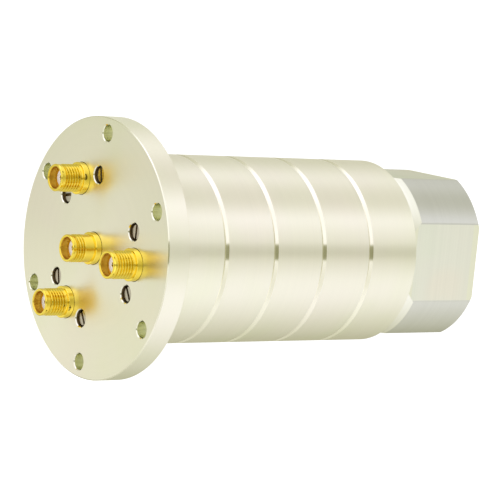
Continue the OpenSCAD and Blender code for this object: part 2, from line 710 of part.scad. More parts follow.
module rotor_coupler(i) {
  z0 = coupler_z(i);
  port_r = track_d / 2 - track_w;
  color(SILVER) along_x() difference() {
    union() {
      disc(z0, z0 + coupler_t, rotor_coupler_d);
      disc(z0 + coupler_t - EDGE, z0 + module_len, sleeve_d);
    }
    disc(z0 - CUT, z0 + module_len + CUT, shaft_d + 2 * fit_gap);
    signal_track(z0 - CUT, z0 + track_depth);
    rotate([0, 0, rotor_jack_angle(i)]) translate([0, 0, z0 + coupler_t / 2])
      rotate([0, 90, 0]) cylinder(d = lead_d + 2 * fit_gap, h = port_r);
    rotate([0, 0, rotor_jack_angle(i)])
      translate([0, -lead_d / 2 - hole_gap, z0 + coupler_t / 2])
        cube([shaft_d / 2 + EDGE, lead_d + 2 * hole_gap, lead_bend_r + lead_d / 2 + hole_gap]);
  }
}

// ---------------------------------------------------------------- coaxial lines

// A stator lead: along its passage from the jack, then inwards to its coupler's port
module stator_lead(i) {
  z_port = housing_z(i) + web_t + coupler_t / 2;
  orbit = jack_circle_d / 2;
  color(COPPER) along_x() rotate([0, 0, jack_angle(i)]) union() {
    translate([orbit, 0, 0]) disc(flange_t, z_port - lead_bend_r, lead_d);
    translate([orbit - lead_bend_r, 0, z_port - lead_bend_r])
      rotate([90, 0, 0]) rotate_extrude(angle = 90) translate([lead_bend_r, 0]) circle(d = lead_d);
    translate([chamber_d / 2 - port_depth, 0, z_port]) rotate([0, 90, 0])
      cylinder(d = lead_d, h = orbit - lead_bend_r - chamber_d / 2 + port_depth);
  }
}

// A rotor lead: in through the shaft's wall, along its bore, and out to its jack
module rotor_lead(i) {
  z_port = coupler_z(i) + coupler_t / 2;
  bend_end = z_port + lead_bend_r;
  fan_start = lead_end_z - 2 * rotor_bend_r;
  outer = lead_orbit_r + lead_bend_r;
  color(COPPER) along_x() rotate([0, 0, rotor_jack_angle(i)]) union() {
    translate([outer, 0, z_port]) rotate([0, 90, 0])
      cylinder(d = lead_d, h = track_d / 2 - track_w - outer);
    translate([outer, 0, bend_end]) rotate([90, 0, 0]) rotate([0, 0, 180])
      rotate_extrude(angle = 90) translate([lead_bend_r, 0]) circle(d = lead_d);
    translate([lead_orbit_r, 0, 0]) disc(bend_end, fan_start, lead_d);
    translate([lead_orbit_r + rotor_bend_r, 0, fan_start]) rotate([90, 0, 0]) rotate([0, 0, 90])
      rotate_extrude(angle = 90) translate([rotor_bend_r, 0]) circle(d = lead_d);
    translate([lead_orbit_r + rotor_bend_r, 0, lead_end_z]) rotate([90, 0, 0]) rotate([0, 0, 270])
      rotate_extrude(angle = 90) translate([rotor_bend_r, 0]) circle(d = lead_d);
  }
}

// The centre channel's fixed line, whose end runs inside the rotor's choke sleeve
module centre_line_stator() color(COPPER) along_x()
  disc(flange_t + spigot_len, stator_line_end, centre_line_d);

module centre_line_rotor() color(COPPER) along_x() union() {
  disc(stator_line_end + centre_gap, end_plate_front, centre_line_d);
  difference() {
    disc(choke_front, choke_front + choke_len, shaft_bore_d - 2 * fit_gap);
    disc(choke_front - CUT, stator_line_end + centre_gap, centre_line_d + 2 * fit_gap);
  }
}

// ---------------------------------------------------------------- nodes

mounting_flange();
front_housing();
channel_housing(2);  // channel_housing_2
channel_housing(3);  // channel_housing_3
channel_housing(4);  // channel_housing_4
rear_housing();
flange_screws();
housing_screws();
flange_jack(1);  // flange_jack_1
flange_jack(2);  // flange_jack_2
flange_jack(3);  // flange_jack_3
flange_jack(4);  // flange_jack_4
flange_insulators();
flange_contacts();
stator_lead(2);  // stator_lead_2
stator_lead(3);  // stator_lead_3
stator_lead(4);  // stator_lead_4
centre_line_stator();
stator_coupler(2);  // stator_coupler_2
stator_coupler(3);  // stator_coupler_3
stator_coupler(4);  // stator_coupler_4
bearing_outer_ring(front_bearing_z);  // front_bearing_outer_ring
bearing_outer_ring(rear_bearing_z);  // rear_bearing_outer_ring
circlip(front_bearing_z + bearing_w);  // front_circlip
circlip(rear_bearing_z + bearing_w);  // rear_circlip
shaft_seal();
bearing_balls(front_bearing_z);  // front_bearing_balls
bearing_cage(front_bearing_z);  // front_bearing_cage
bearing_balls(rear_bearing_z);  // rear_bearing_balls
bearing_cage(rear_bearing_z);  // rear_bearing_cage
bearing_inner_ring(front_bearing_z);  // front_bearing_inner_ring
bearing_inner_ring(rear_bearing_z);  // rear_bearing_inner_ring
rotor_block();
rotor_end_plate();
end_plate_screws();
shaft_screws();
rotor_jack(1);  // rotor_jack_1
rotor_jack(2);  // rotor_jack_2
rotor_jack(3);  // rotor_jack_3
rotor_jack(4);  // rotor_jack_4
rotor_insulators();
rotor_contacts();
rotor_shaft();
shaft_locknut();
front_spacer();
rear_spacer();
rotor_coupler(2);  // rotor_coupler_2
rotor_coupler(3);  // rotor_coupler_3
rotor_coupler(4);  // rotor_coupler_4
rotor_lead(2);  // rotor_lead_2
rotor_lead(3);  // rotor_lead_3
rotor_lead(4);  // rotor_lead_4
centre_line_rotor();
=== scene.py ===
"""Looks of the coaxial slip ring: threaded gold jacks, turned and chromated aluminium, and the stage."""
import math

import bpy
import numpy as np
from bpy.props import FloatProperty, FloatVectorProperty, IntProperty, PointerProperty
from mathutils import Matrix, Vector


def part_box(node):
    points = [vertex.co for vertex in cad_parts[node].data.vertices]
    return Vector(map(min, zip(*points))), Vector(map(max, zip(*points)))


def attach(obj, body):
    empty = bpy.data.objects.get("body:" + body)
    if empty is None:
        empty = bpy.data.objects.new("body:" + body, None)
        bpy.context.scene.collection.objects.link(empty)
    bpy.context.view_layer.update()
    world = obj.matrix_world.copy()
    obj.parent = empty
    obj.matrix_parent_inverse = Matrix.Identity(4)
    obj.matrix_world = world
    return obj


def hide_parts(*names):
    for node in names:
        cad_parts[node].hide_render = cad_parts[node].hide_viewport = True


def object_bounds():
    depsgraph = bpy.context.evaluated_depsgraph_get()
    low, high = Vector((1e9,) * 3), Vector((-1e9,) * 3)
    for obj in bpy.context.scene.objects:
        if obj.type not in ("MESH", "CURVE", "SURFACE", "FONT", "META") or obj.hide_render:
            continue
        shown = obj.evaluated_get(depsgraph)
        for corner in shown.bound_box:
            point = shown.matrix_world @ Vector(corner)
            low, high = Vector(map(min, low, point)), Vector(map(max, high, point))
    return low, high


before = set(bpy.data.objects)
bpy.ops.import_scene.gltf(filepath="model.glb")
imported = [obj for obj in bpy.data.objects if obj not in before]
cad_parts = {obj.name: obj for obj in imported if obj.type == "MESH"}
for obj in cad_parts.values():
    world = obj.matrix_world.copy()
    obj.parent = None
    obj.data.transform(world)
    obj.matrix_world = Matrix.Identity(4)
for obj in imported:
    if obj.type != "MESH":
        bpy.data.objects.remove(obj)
CAD_BOX = [list(corner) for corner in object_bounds()]

bl_info = {
    "name": "Coaxial slip ring",
    "version": (1, 0, 0),
    "blender": (4, 5, 0),
    "location": "3D View > Sidebar > Slip ring",
    "description": "Threaded jacks, finishes and stage of a coaxial slip ring",
    "category": "Object",
}

MM = 0.001
TURN = 2 * math.pi

# Edges of a jack: inside the mouth, outside it, round the collar, and the slope that leads into the thread
MOUTH_EDGE, RING_EDGE, COLLAR_EDGE, LEAD_IN = 0.2 * MM, 0.16 * MM, 0.12 * MM, 0.22 * MM
# Length of a jack's profile that one unit of its map stands for
MAP_UNIT = 20 * MM
# Edges that turn by more than this stay sharp
SHARP_EDGE = math.radians(32)

# Share of the normal along the shaft line: up to WALL a surface is the wall of a hole along it, from
# CHAMFER to FACE it is a chamfer or cone, and above FACE it is square to the line
WALL, CHAMFER, FACE = 0.2, 0.3, 0.93
# Distances from the shaft line: the screw recesses lie within the first, the bolt holes between the others
RECESS_REACH, BOLTS_FROM, BOLTS_TO = 20 * MM, 24 * MM, 29 * MM
# Between these distances from the shaft line the rotor block's flats run over into its arcs
FLAT_REACH, ARC_FROM = 21.12 * MM, 21.16 * MM
# Roughness of turned chamfers, and how far the lathe lines wander
CHAMFER_ROUGH, WANDER = 0.12, 0.09 * MM
# Broad lathe lines a metre, which lie under the fine ones, and lines in one map unit of the gold
BROAD_LINES, GOLD_LINES = 420.0, 160.0
# Depth of the relief on turned metal, on gold plate and on grained surfaces
TURNED_RELIEF, GOLD_RELIEF, GRAIN_RELIEF = 0.03 * MM, 0.02 * MM, 0.05 * MM
# Share of painted shade at the bottom of a gold thread, and the roughness that a bore adds
THREAD_ROOT_SHADE, BORE_ROUGH = 0.35, 0.25
# The rotor block's flats turn to straw between these distances from its ends, and painted shade darkens
# its arcs from the first height to the second
STRAW_FROM, STRAW_TO, ARC_SHADE_LOW, ARC_SHADE_HIGH = 1.9 * MM, 1.5 * MM, -18 * MM, 18 * MM

# Brightness of the studio round the shaft line: half the angle from the near side up over the top,
# which is the place on a barrel that mirrors it, and a level. The rear part of the room is what barrels
# and flats mirror; the middle part reaches the jacks by way of the flange; the front part is what
# faces and chamfers mirror.
REAR_LIGHT = [
    (-90, 0.32), (-74, 0.42), (-62, 0.59), (-50, 0.73), (-40, 0.88), (-30, 0.99), (-20, 1.01), (-12, 0.88),
    (-5, 0.74), (0, 0.84), (6, 0.89), (12, 0.96), (17, 1.06), (21, 0.94), (28, 0.69), (36, 0.67), (47, 0.9),
    (53, 0.79), (65, 0.62), (90, 0.55),
]
MIDDLE_LIGHT = [
    (-90, 0.77), (-80, 0.7), (-60, 0.72), (-44, 1.0), (-28, 1.22), (-14, 0.75), (-4, 0.55), (6, 0.65),
    (18, 1.0), (30, 1.25), (45, 1.4), (52, 1.15), (57, 0.72), (66, 0.58), (76, 0.62), (83, 0.68), (90, 0.73),
]
FRONT_LIGHT = [
    (-90, 0.77), (-80, 0.7), (-60, 0.66), (-30, 0.86), (-10, 1.0), (10, 1.15), (40, 1.12), (56, 0.95),
    (72, 0.82), (82, 0.68), (90, 0.73),
]
# A colour ramp holds nothing above 1, so the levels are kept in it divided by this
LEVEL_SCALE = 2.0
# Directions along X between which the front part runs over into the middle and the middle into the rear
FRONT_TO_MIDDLE, MIDDLE_TO_REAR = (-0.73, -0.62), (-0.15, 0.25)
# Dark things on the near side of the room, as ovals seen from the part: middle and half size along X and
# Z, and depth; and their soft edge, as squared distances from the middle in half sizes
DARK_OVALS = [((-0.8, -0.07), (0.16, 0.12), 0.7), ((0.545, -0.06), (0.07, 0.12), 0.85)]
OVAL_EDGE = (1.4, 0.6)
# A brighter belt round the room: where it starts and ends along X, and the light that it adds
BELT_START, BELT_END, BELT_GAIN = (0.35, 0.48), (0.575, 0.555), 0.46
# The room grows darker straight ahead of the flange, from the first to the second direction along X
AHEAD, AHEAD_LEVEL = (-0.9, -0.97), 0.6
# Blue falls off faster than red and green where the room is dark
BLUE_POWER = 1.4
# What the camera sees of the room
BACKDROP = (1.2, 1.2, 1.2, 1)
FLOOR_HALF = 4.0
FILL_PLACE = Vector((-0.13, 0.19, -0.018))


# ---------------------------------------------------------------- settings


class SlipRingJacks(bpy.types.PropertyGroup):
    """Sizes of the coaxial jacks."""

    crest: FloatProperty(
        name="Thread diameter", description="Over the thread's crests", default=6.35 * MM, unit="LENGTH")
    pitch: FloatProperty(
        name="Pitch", description="Advance of the thread in one turn", default=0.7056 * MM, unit="LENGTH")
    depth: FloatProperty(
        name="Thread depth", description="From crest to root", default=0.42 * MM, unit="LENGTH")
    ring: FloatProperty(
        name="Ring diameter", description="Plain ring round the mouth", default=6.25 * MM, unit="LENGTH")
    collar: FloatProperty(
        name="Collar diameter", description="Collar on the face", default=7.4 * MM, unit="LENGTH")
    collar_height: FloatProperty(
        name="Collar height", description="Collar above the face", default=1.4 * MM, unit="LENGTH")
    height: FloatProperty(
        name="Height", description="Mouth above the face", default=7.2 * MM, unit="LENGTH")
    mouth: FloatProperty(
        name="Mouth diameter", description="Open mouth", default=4.9 * MM, unit="LENGTH")
    mouth_depth: FloatProperty(
        name="Mouth depth", description="Down to the insulator", default=2.0 * MM, unit="LENGTH")
    bore: FloatProperty(
        name="Insulator diameter", description="Bore that holds the insulator", default=4.1 * MM,
        unit="LENGTH")
    around: IntProperty(
        name="Steps around", description="Mesh steps in one turn", default=96, min=48, max=160)
    per_pitch: IntProperty(
        name="Steps a pitch", description="Mesh steps along one pitch", default=14, min=8, max=24)


class SlipRingFinish(bpy.types.PropertyGroup):
    """Colours of the finishes."""

    aluminium: FloatVectorProperty(
        name="Chromated aluminium", description="Turned housings and flange", subtype="COLOR", size=3,
        default=(0.935, 0.905, 0.745), min=0, max=1)
    flat: FloatVectorProperty(
        name="Milled flat", description="Flats of the rotor block", subtype="COLOR", size=3,
        default=(0.86, 0.86, 0.735), min=0, max=1)
    arc: FloatVectorProperty(
        name="Block arc", description="Turned arcs between the flats", subtype="COLOR", size=3,
        default=(0.69, 0.69, 0.62), min=0, max=1)
    gold: FloatVectorProperty(
        name="Gold plate", description="Jacks and contacts", subtype="COLOR", size=3,
        default=(1.0, 0.77, 0.11), min=0, max=1)


class SlipRingStage(bpy.types.PropertyGroup):
    """Sizes of the stage."""

    floor_drop: FloatProperty(
        name="Floor below the part", description="Distance from the flange's rim to the floor",
        default=0.03, unit="LENGTH")
    distance: FloatProperty(
        name="Camera distance", description="From the aim point", default=0.6, unit="LENGTH")
    azimuth: FloatProperty(
        name="Camera azimuth", description="About the vertical, from the near side",
        default=math.radians(-36.53), subtype="ANGLE")
    elevation: FloatProperty(
        name="Camera elevation", description="Above the horizon", default=math.radians(-2.07),
        subtype="ANGLE")
    roll: FloatProperty(
        name="Camera roll", description="About the line of sight", default=math.radians(-1.18),
        subtype="ANGLE")
    lens: FloatProperty(
        name="Lens", description="Focal length in millimetres", default=183.07)
    shift: FloatVectorProperty(
        name="Lens shift", description="To the side and up, in picture widths", size=2,
        default=(0.03034, -0.00176))
    aim: FloatVectorProperty(
        name="Aim point", description="Point on the shaft line that the camera looks at", size=3,
        default=(0.04, 0.0, 0.0), unit="LENGTH")


def settings():
    """The three property groups of the scene."""
    scene = bpy.context.scene
    return scene.slipring_jacks, scene.slipring_finish, scene.slipring_stage


# ---------------------------------------------------------------- surfaces


def sheet_mesh(name, points, uv):
    """A closed grid of quads from points[u, v]: both directions wrap round, as on a bent tube.
    Corner k of quad (u, v) is the grid point one step further along u, v or both. uv[u, v] is the
    place on the unrolled surface, and its u runs on past 1 at the seam."""
    nu, nv, _ = points.shape
    index = np.arange(nu * nv).reshape(nu, nv)
    across = np.roll(index, -1, 0)
    quads = np.stack([index, np.roll(index, -1, 1), np.roll(across, -1, 1), across], -1).reshape(-1, 4)
    mesh = bpy.data.meshes.new(name)
    mesh.vertices.add(nu * nv)
    mesh.vertices.foreach_set("co", points.astype(np.float32).ravel())
    mesh.loops.add(quads.size)
    mesh.loops.foreach_set("vertex_index", quads.astype(np.int32).ravel())
    mesh.polygons.add(len(quads))
    mesh.polygons.foreach_set("loop_start", np.arange(0, quads.size, 4, dtype=np.int32))
    mesh.polygons.foreach_set("use_smooth", np.ones(len(quads), dtype=bool))
    layer = mesh.uv_layers.new(name="UVMap")
    place = uv.reshape(-1, 2)[quads]
    place[-nv:, 2:, 0] += 1.0
    layer.data.foreach_set("uv", place.astype(np.float32).ravel())
    mesh.update(calc_edges=True)
    mesh.validate()
    mesh.set_sharp_from_angle(angle=SHARP_EDGE)
    piece = bpy.data.objects.new(name, mesh)
    bpy.context.scene.collection.objects.link(piece)
    return piece


def filleted(corners, steps=4):
    """A closed polyline whose corners are rounded: each corner (d, r, radius) becomes a parabola that
    touches both of its sides as far out as an arc of that radius does, but never beyond 0.45 of a
    side. The result is (d, r) rows, and its last row joins its first."""
    rows = np.array([corner[:2] for corner in corners], float)
    radii = np.array([corner[2] for corner in corners], float)
    before, after = np.roll(rows, 1, 0) - rows, np.roll(rows, -1, 0) - rows
    lengths = [np.linalg.norm(side, axis=1) for side in (before, after)]
    back, on = before / lengths[0][:, None], after / lengths[1][:, None]
    half = np.arccos(np.clip((back * on).sum(1), -1, 1)) / 2
    reach = np.minimum(radii / np.tan(half), 0.45 * np.minimum(*lengths))[:, None]
    start, end = (rows + back * reach)[:, None], (rows + on * reach)[:, None]
    t = np.linspace(0, 1, steps)[None, :, None]
    curve = (1 - t) ** 2 * start + 2 * t * (1 - t) * rows[:, None] + t ** 2 * end
    return curve.reshape(-1, 2)


def densified(rows, step, low, high):
    """The closed polyline with extra points wherever a side lies between stations low and high, so
    that no side there is longer than step along d."""
    out, slack = [], 1e-9
    for p, q in zip(rows, np.roll(rows, -1, 0)):
        inside = low - slack <= min(p[0], q[0]) and max(p[0], q[0]) <= high + slack
        n = max(1, int(math.ceil(abs(q[0] - p[0]) / step))) if inside else 1
        out.append(p + (q - p) * (np.arange(n) / n)[:, None])
    return np.concatenate(out)


def thread_groove(d, theta, pitch, depth, start, end):
    """Depth of a 60-degree thread's groove at station d and angle theta. The groove's place along d
    moves by one pitch in a turn; its flanks slope by 30 degrees between a crest an eighth of a pitch
    wide and a somewhat wider root. It fades in over a third of a pitch and out over half a pitch."""
    x = np.abs(np.mod((d - start) / pitch - theta / TURN, 1.0) - 0.5) * pitch
    crest, flank = pitch / 16, depth * math.tan(math.radians(30))
    fade = np.clip((d - start) / (0.35 * pitch), 0, 1) * np.clip((end - d) / (0.5 * pitch), 0, 1)
    return depth * np.clip((x - crest) / flank, 0, 1) * fade


def jack(name, place, facing, sizes, back, foot, stations, phase):
    """A jack as one closed surface. The profile (d, r) runs from the bore up the mouth's wall, over
    the lip, down the ring, thread and collar, and back along the foot; the point at angle theta is
    r out from the axis, less the thread's groove there. d counts from the mouth into the face. In
    millimetres, back is how far the bore goes on behind the face, foot lists (d, r) behind the face,
    and stations are the ends of the ring, the relief and the thread. phase turns the thread."""
    height, bore, mouth, ring = sizes.height, sizes.bore / 2, sizes.mouth / 2, sizes.ring / 2
    collar, crest, root = sizes.collar / 2, sizes.crest / 2, sizes.crest / 2 - sizes.depth
    top = height - sizes.collar_height
    ring_end, relief_end, thread_end = (station * MM for station in stations)
    # Each corner's d and r, and how far it is rounded
    corners = [
        (height + back * MM, bore, 0.05 * MM),
        (sizes.mouth_depth, bore, 0.02 * MM),
        (sizes.mouth_depth, mouth, 0.04 * MM),
        (MOUTH_EDGE, mouth, 0.05 * MM),
        (0, mouth + MOUTH_EDGE, 0.04 * MM),
        (0, ring - RING_EDGE, 0.06 * MM),
        (RING_EDGE, ring, 0.08 * MM),
        (ring_end - 0.06 * MM, ring, 0.05 * MM),
        (ring_end, root, 0.02 * MM),
        (relief_end, root, 0.02 * MM),
        (relief_end + LEAD_IN, crest, 0.03 * MM),
        (top, crest, 0.05 * MM),
        (top, collar - COLLAR_EDGE, 0.04 * MM),
        (top + COLLAR_EDGE, collar, 0.06 * MM),
    ]
    corners += [(height + d * MM, r * MM, 0.04 * MM) for d, r in foot]
    rows = densified(filleted(corners), sizes.pitch / sizes.per_pitch, relief_end, top)
    d, r = rows[:, 0][None, :], rows[:, 1][None, :]
    theta = (np.arange(sizes.around) / sizes.around * TURN)[:, None]
    threaded = (d > relief_end) & (d < thread_end) & (r > root)
    cut = thread_groove(d, theta + phase, sizes.pitch, sizes.depth, relief_end, thread_end)
    radius = np.where(threaded, np.minimum(r, np.maximum(crest - cut, root)), r)
    along = np.broadcast_to(place[0] + facing * (height - d), radius.shape)
    points = np.stack([along, place[1] + radius * np.cos(theta), place[2] + radius * np.sin(theta)], -1)
    length = np.concatenate([[0], np.cumsum(np.linalg.norm(np.diff(rows, axis=0), axis=1))])
    uv = np.stack(np.broadcast_arrays(theta / TURN, length[None, :] / MAP_UNIT), -1)
    # A jack that faces along +X is a mirror image, so its rows run the other way round
    order = slice(None, None, -1) if facing > 0 else slice(None)
    made = sheet_mesh(name, points[order], uv)
    # The bore and groove layers tell the gold finish where to paint shade in the bore and in the thread's
    # roots; the bore layer also makes the walls rougher
    inside = np.broadcast_to((r < mouth + 0.02 * MM) & (d > 0.1 * MM), radius.shape)
    sunk = np.where(threaded, np.clip((crest - radius) / sizes.depth, 0, 1), 0.0)
    for label, values in (("bore", inside), ("groove", sunk)):
        layer = made.data.attributes.new(label, "FLOAT", "POINT")
        layer.data.foreach_set("value", values[order].astype(np.float32).ravel())
    return made


# ---------------------------------------------------------------- shader tools


def feed(tree, node, sockets):
    """Links or sets a node's sockets, each given by name or number."""
    for key, value in sockets.items():
        if isinstance(value, bpy.types.NodeSocket):
            tree.links.new(value, node.inputs[key])
        else:
            node.inputs[key].default_value = value


def add(tree, kind, sockets=None, **values):
    """A node with its properties set, and its sockets set or linked."""
    made = tree.nodes.new(kind)
    for key, value in values.items():
        setattr(made, key, value)
    feed(tree, made, sockets or {})
    return made


def calc(tree, operation, *values):
    """The result of a math node."""
    return add(tree, "ShaderNodeMath", dict(enumerate(values)), operation=operation).outputs[0]


def axes(tree, vector):
    """The X, Y and Z of a vector."""
    return add(tree, "ShaderNodeSeparateXYZ", {0: vector}).outputs


def from_shaft(tree, place):
    """How far a place, given by its X, Y and Z, is from the shaft line."""
    squares = calc(tree, "ADD", calc(tree, "POWER", place[1], 2.0), calc(tree, "POWER", place[2], 2.0))
    return calc(tree, "SQRT", squares)


def spread(tree, value, start, end, low=0.0, high=1.0, smooth=False):
    """A number that runs from low to high while value runs from start to end, and then stays."""
    sockets = {"Value": value, "From Min": start, "From Max": end, "To Min": low, "To Max": high}
    kind = "SMOOTHSTEP" if smooth else "LINEAR"
    return add(tree, "ShaderNodeMapRange", sockets, interpolation_type=kind).outputs[0]


def blend(tree, factor, one, two):
    """The colour that runs from one to two with factor."""
    return add(tree, "ShaderNodeMix", {"Factor": factor, 6: one, 7: two}, data_type="RGBA").outputs[2]


def scaled(tree, colour, factor):
    """A colour multiplied by a number."""
    return add(tree, "ShaderNodeVectorMath", {0: colour, "Scale": factor}, operation="SCALE").outputs[0]


def cloud(tree, place, scale, detail, roughness=0.5):
    """Noise from 0 to 1 in space."""
    sockets = {"Vector": place, "Scale": scale, "Detail": detail, "Roughness": roughness}
    return add(tree, "ShaderNodeTexNoise", sockets).outputs["Fac"]


def streaks(tree, distance, detail):
    """Noise from 0 to 1 that changes along one distance only, and so draws lines across it."""
    sockets = {"W": distance, "Scale": 1.0, "Detail": detail}
    return add(tree, "ShaderNodeTexNoise", sockets, noise_dimensions="1D").outputs["Fac"]


def use(tree, name, sockets=None):
    """The outputs of a placed copy of a node group."""
    return add(tree, "ShaderNodeGroup", sockets, node_tree=bpy.data.node_groups[name]).outputs


def group(name, inputs, outputs):
    """An empty node group with named sockets, and its input and output nodes."""
    tree = bpy.data.node_groups.new(name, "ShaderNodeTree")
    for label, kind, default in inputs:
        tree.interface.new_socket(label, in_out="INPUT", socket_type=kind).default_value = default
    for label, kind in outputs:
        tree.interface.new_socket(label, in_out="OUTPUT", socket_type=kind)
    return tree, tree.nodes.new("NodeGroupInput"), tree.nodes.new("NodeGroupOutput")


def make_groups():
    """Lathe lines, chromate tint and handling marks, which several finishes share."""
    number, colour, white = "NodeSocketFloat", "NodeSocketColor", (1, 1, 1, 1)

    outputs = [(label, number) for label in ("Height", "Shade", "Face", "Chamfer")]
    tree, given, put = group("Lathe lines", [("Density", number, 2500.0)], outputs)
    coords = add(tree, "ShaderNodeTexCoord").outputs
    place = axes(tree, coords["Object"])
    slope = calc(tree, "ABSOLUTE", axes(tree, coords["Normal"])[0])
    on_face = calc(tree, "GREATER_THAN", slope, FACE)
    steeper, flatter = calc(tree, "GREATER_THAN", slope, CHAMFER), calc(tree, "LESS_THAN", slope, FACE)
    on_chamfer = calc(tree, "MULTIPLY", steeper, flatter)
    # Lines follow one another outwards on a face, and along the shaft line elsewhere
    outwards = calc(tree, "MULTIPLY", from_shaft(tree, place), on_face)
    along = calc(tree, "MULTIPLY", place[0], calc(tree, "SUBTRACT", 1.0, on_face))
    across = calc(tree, "ADD", outwards, along)
    wavy = calc(tree, "MULTIPLY_ADD", cloud(tree, coords["Object"], 90.0, 1.0), WANDER, across)
    fine = streaks(tree, calc(tree, "MULTIPLY", wavy, given.outputs["Density"]), 3.0)
    broad = streaks(tree, calc(tree, "MULTIPLY", across, BROAD_LINES), 2.0)
    shade = calc(tree, "MULTIPLY_ADD", fine, 0.5, calc(tree, "MULTIPLY", broad, 0.5))
    feed(tree, put, {"Height": fine, "Shade": shade, "Face": on_face, "Chamfer": on_chamfer})

    inputs = [(label, colour, white) for label in ("Clear", "Rose", "Green")] + [("Scale", number, 45.0)]
    tree, given, put = group("Chromate tint", inputs, [("Color", colour)])
    where = cloud(tree, add(tree, "ShaderNodeTexCoord").outputs["Object"], given.outputs["Scale"], 2.0)
    rosy = spread(tree, where, 0.5, 0.72, smooth=True)
    greenish = spread(tree, where, 0.5, 0.28, smooth=True)
    one = blend(tree, rosy, given.outputs["Clear"], given.outputs["Rose"])
    feed(tree, put, {"Color": blend(tree, greenish, one, given.outputs["Green"])})

    tree, given, put = group("Handling marks", [("Scale", number, 700.0)], [("Marks", number)])
    where = add(tree, "ShaderNodeTexCoord").outputs["Object"]
    marks = cloud(tree, where, given.outputs["Scale"], 4.0, roughness=0.7)
    feed(tree, put, {"Marks": spread(tree, marks, 0.62, 0.78)})


# ---------------------------------------------------------------- finishes


def material(name, **constants):
    """A new material, its nodes and its shader, with the constants set on the shader itself."""
    made = bpy.data.materials.new(name)
    made.use_nodes = True
    shader = made.node_tree.nodes["Principled BSDF"]
    for key, value in constants.items():
        shader.inputs[key.replace("_", " ")].default_value = value
    return made, made.node_tree, shader


def tinted(colour, red=1, green=1, blue=1):
    """A colour multiplied channel by channel, with alpha 1."""
    return (min(1, colour[0] * red), min(1, colour[1] * green), min(1, colour[2] * blue), 1)


def clouded(tree, colour, rose, green, scale=45.0):
    """The shared chromate tint of a colour, whose two tinges are given channel by channel."""
    sockets = {"Clear": tinted(colour), "Rose": tinted(colour, *rose), "Green": tinted(colour, *green)}
    return use(tree, "Chromate tint", {**sockets, "Scale": scale})["Color"]


def varied(tree, colour, factor, low, high):
    """A colour multiplied by a number that runs from low to high with factor."""
    return scaled(tree, colour, spread(tree, factor, 0.25, 0.75, low, high))


def marked(tree, rough, depth, scale=700.0):
    """A roughness with the shared handling marks on it."""
    return calc(tree, "MULTIPLY_ADD", use(tree, "Handling marks", {"Scale": scale})["Marks"], depth, rough)


def bump(tree, shader, height, strength, distance):
    """Feeds a height through a bump node into the shader's normal."""
    sockets = {"Height": height, "Strength": strength, "Distance": distance}
    feed(tree, shader, {"Normal": add(tree, "ShaderNodeBump", sockets).outputs["Normal"]})


def draw_out(tree, shader):
    """Draws the highlight out across lines that run round the shaft line."""
    tangent = add(tree, "ShaderNodeTangent", direction_type="RADIAL", axis="X")
    feed(tree, shader, {"Tangent": tangent.outputs[0]})


def turned_finish(name, colour, rough=0.33, face_rough=0.27, anisotropy=0.88, grooves=0.08, density=2600.0):
    """Fine-turned metal: lines round the axis, a cloudy tint and a highlight drawn out across them.
    Faces square to the shaft line are turned finer than barrels, and chamfers finer still."""
    made, tree, shader = material(name, Metallic=1.0, Anisotropic=anisotropy, Anisotropic_Rotation=0.25)
    lines = use(tree, "Lathe lines", {"Density": density})
    tint = clouded(tree, colour, (1.01, 0.99, 1.02), (0.98, 1.0, 0.95))
    depth = calc(tree, "MULTIPLY_ADD", lines["Face"], face_rough - rough, rough)
    depth = calc(tree, "MULTIPLY_ADD", lines["Chamfer"], CHAMFER_ROUGH - rough, depth)
    depth = calc(tree, "MULTIPLY_ADD", calc(tree, "SUBTRACT", lines["Shade"], 0.5), 0.08, depth)
    feed(tree, shader, {
        "Base Color": varied(tree, tint, lines["Shade"], 0.975, 1.015),
        "Roughness": marked(tree, depth, 0.06),
    })
    draw_out(tree, shader)
    bump(tree, shader, lines["Height"], grooves, TURNED_RELIEF)
    return made


def gold_finish(name, colour):
    """Bright plated brass: lines round the axis from the piece's own map, cloudy colour, painted shade
    in the thread's grooves, and duller walls in the bore with painted shade on them."""
    made, tree, shader = material(name, Metallic=1.0)
    along = axes(tree, add(tree, "ShaderNodeUVMap", uv_map="UVMap").outputs[0])[1]
    lines = streaks(tree, calc(tree, "MULTIPLY", along, GOLD_LINES), 3.0)
    bore = add(tree, "ShaderNodeAttribute", attribute_name="bore").outputs["Fac"]
    groove = add(tree, "ShaderNodeAttribute", attribute_name="groove").outputs["Fac"]
    tint = clouded(tree, colour, (1, 0.97, 0.8), (1, 1.02, 1.2), 260.0)
    plated = varied(tree, tint, lines, 0.95, 1.02)
    # Painted shade: the bottom of the thread's grooves is darkened towards a deep brown
    root = calc(tree, "MULTIPLY", groove, THREAD_ROOT_SHADE)
    root_shaded = blend(tree, root, plated, tinted(colour, 0.42, 0.36, 0.2))
    rough = calc(tree, "MULTIPLY_ADD", bore, BORE_ROUGH, spread(tree, lines, 0.3, 0.7, 0.07, 0.12))
    feed(tree, shader, {
        # Painted shade: the walls of the bore get a darker colour
        "Base Color": blend(tree, bore, root_shaded, tinted(colour, 0.74, 0.62, 0.52)),
        "Roughness": marked(tree, rough, 0.1, 1500.0),
    })
    bump(tree, shader, lines, 0.06, GOLD_RELIEF)
    return made


def gold_material():
    """The gold finish, made once."""
    return bpy.data.materials.get("bright_gold") or gold_finish("bright_gold", settings()[1].gold)


def plain_finish(name, colour, rough, metallic=0.0, scale=600.0, depth=0.08, **constants):
    """A finish with a fine grain, cloudy colour and handling marks."""
    made, tree, shader = material(name, Metallic=metallic, **constants)
    tint = clouded(tree, colour, (1.03, 0.98, 0.97), (0.94, 0.96, 0.95), scale / 4)
    grain = cloud(tree, add(tree, "ShaderNodeTexCoord").outputs["Object"], scale * 5, 3.0)
    feed(tree, shader, {
        "Base Color": varied(tree, tint, grain, 0.93, 1.04),
        "Roughness": marked(tree, spread(tree, grain, 0.3, 0.7, rough - 0.04, rough + 0.05), 0.08, scale),
    })
    bump(tree, shader, grain, depth, GRAIN_RELIEF)
    return made


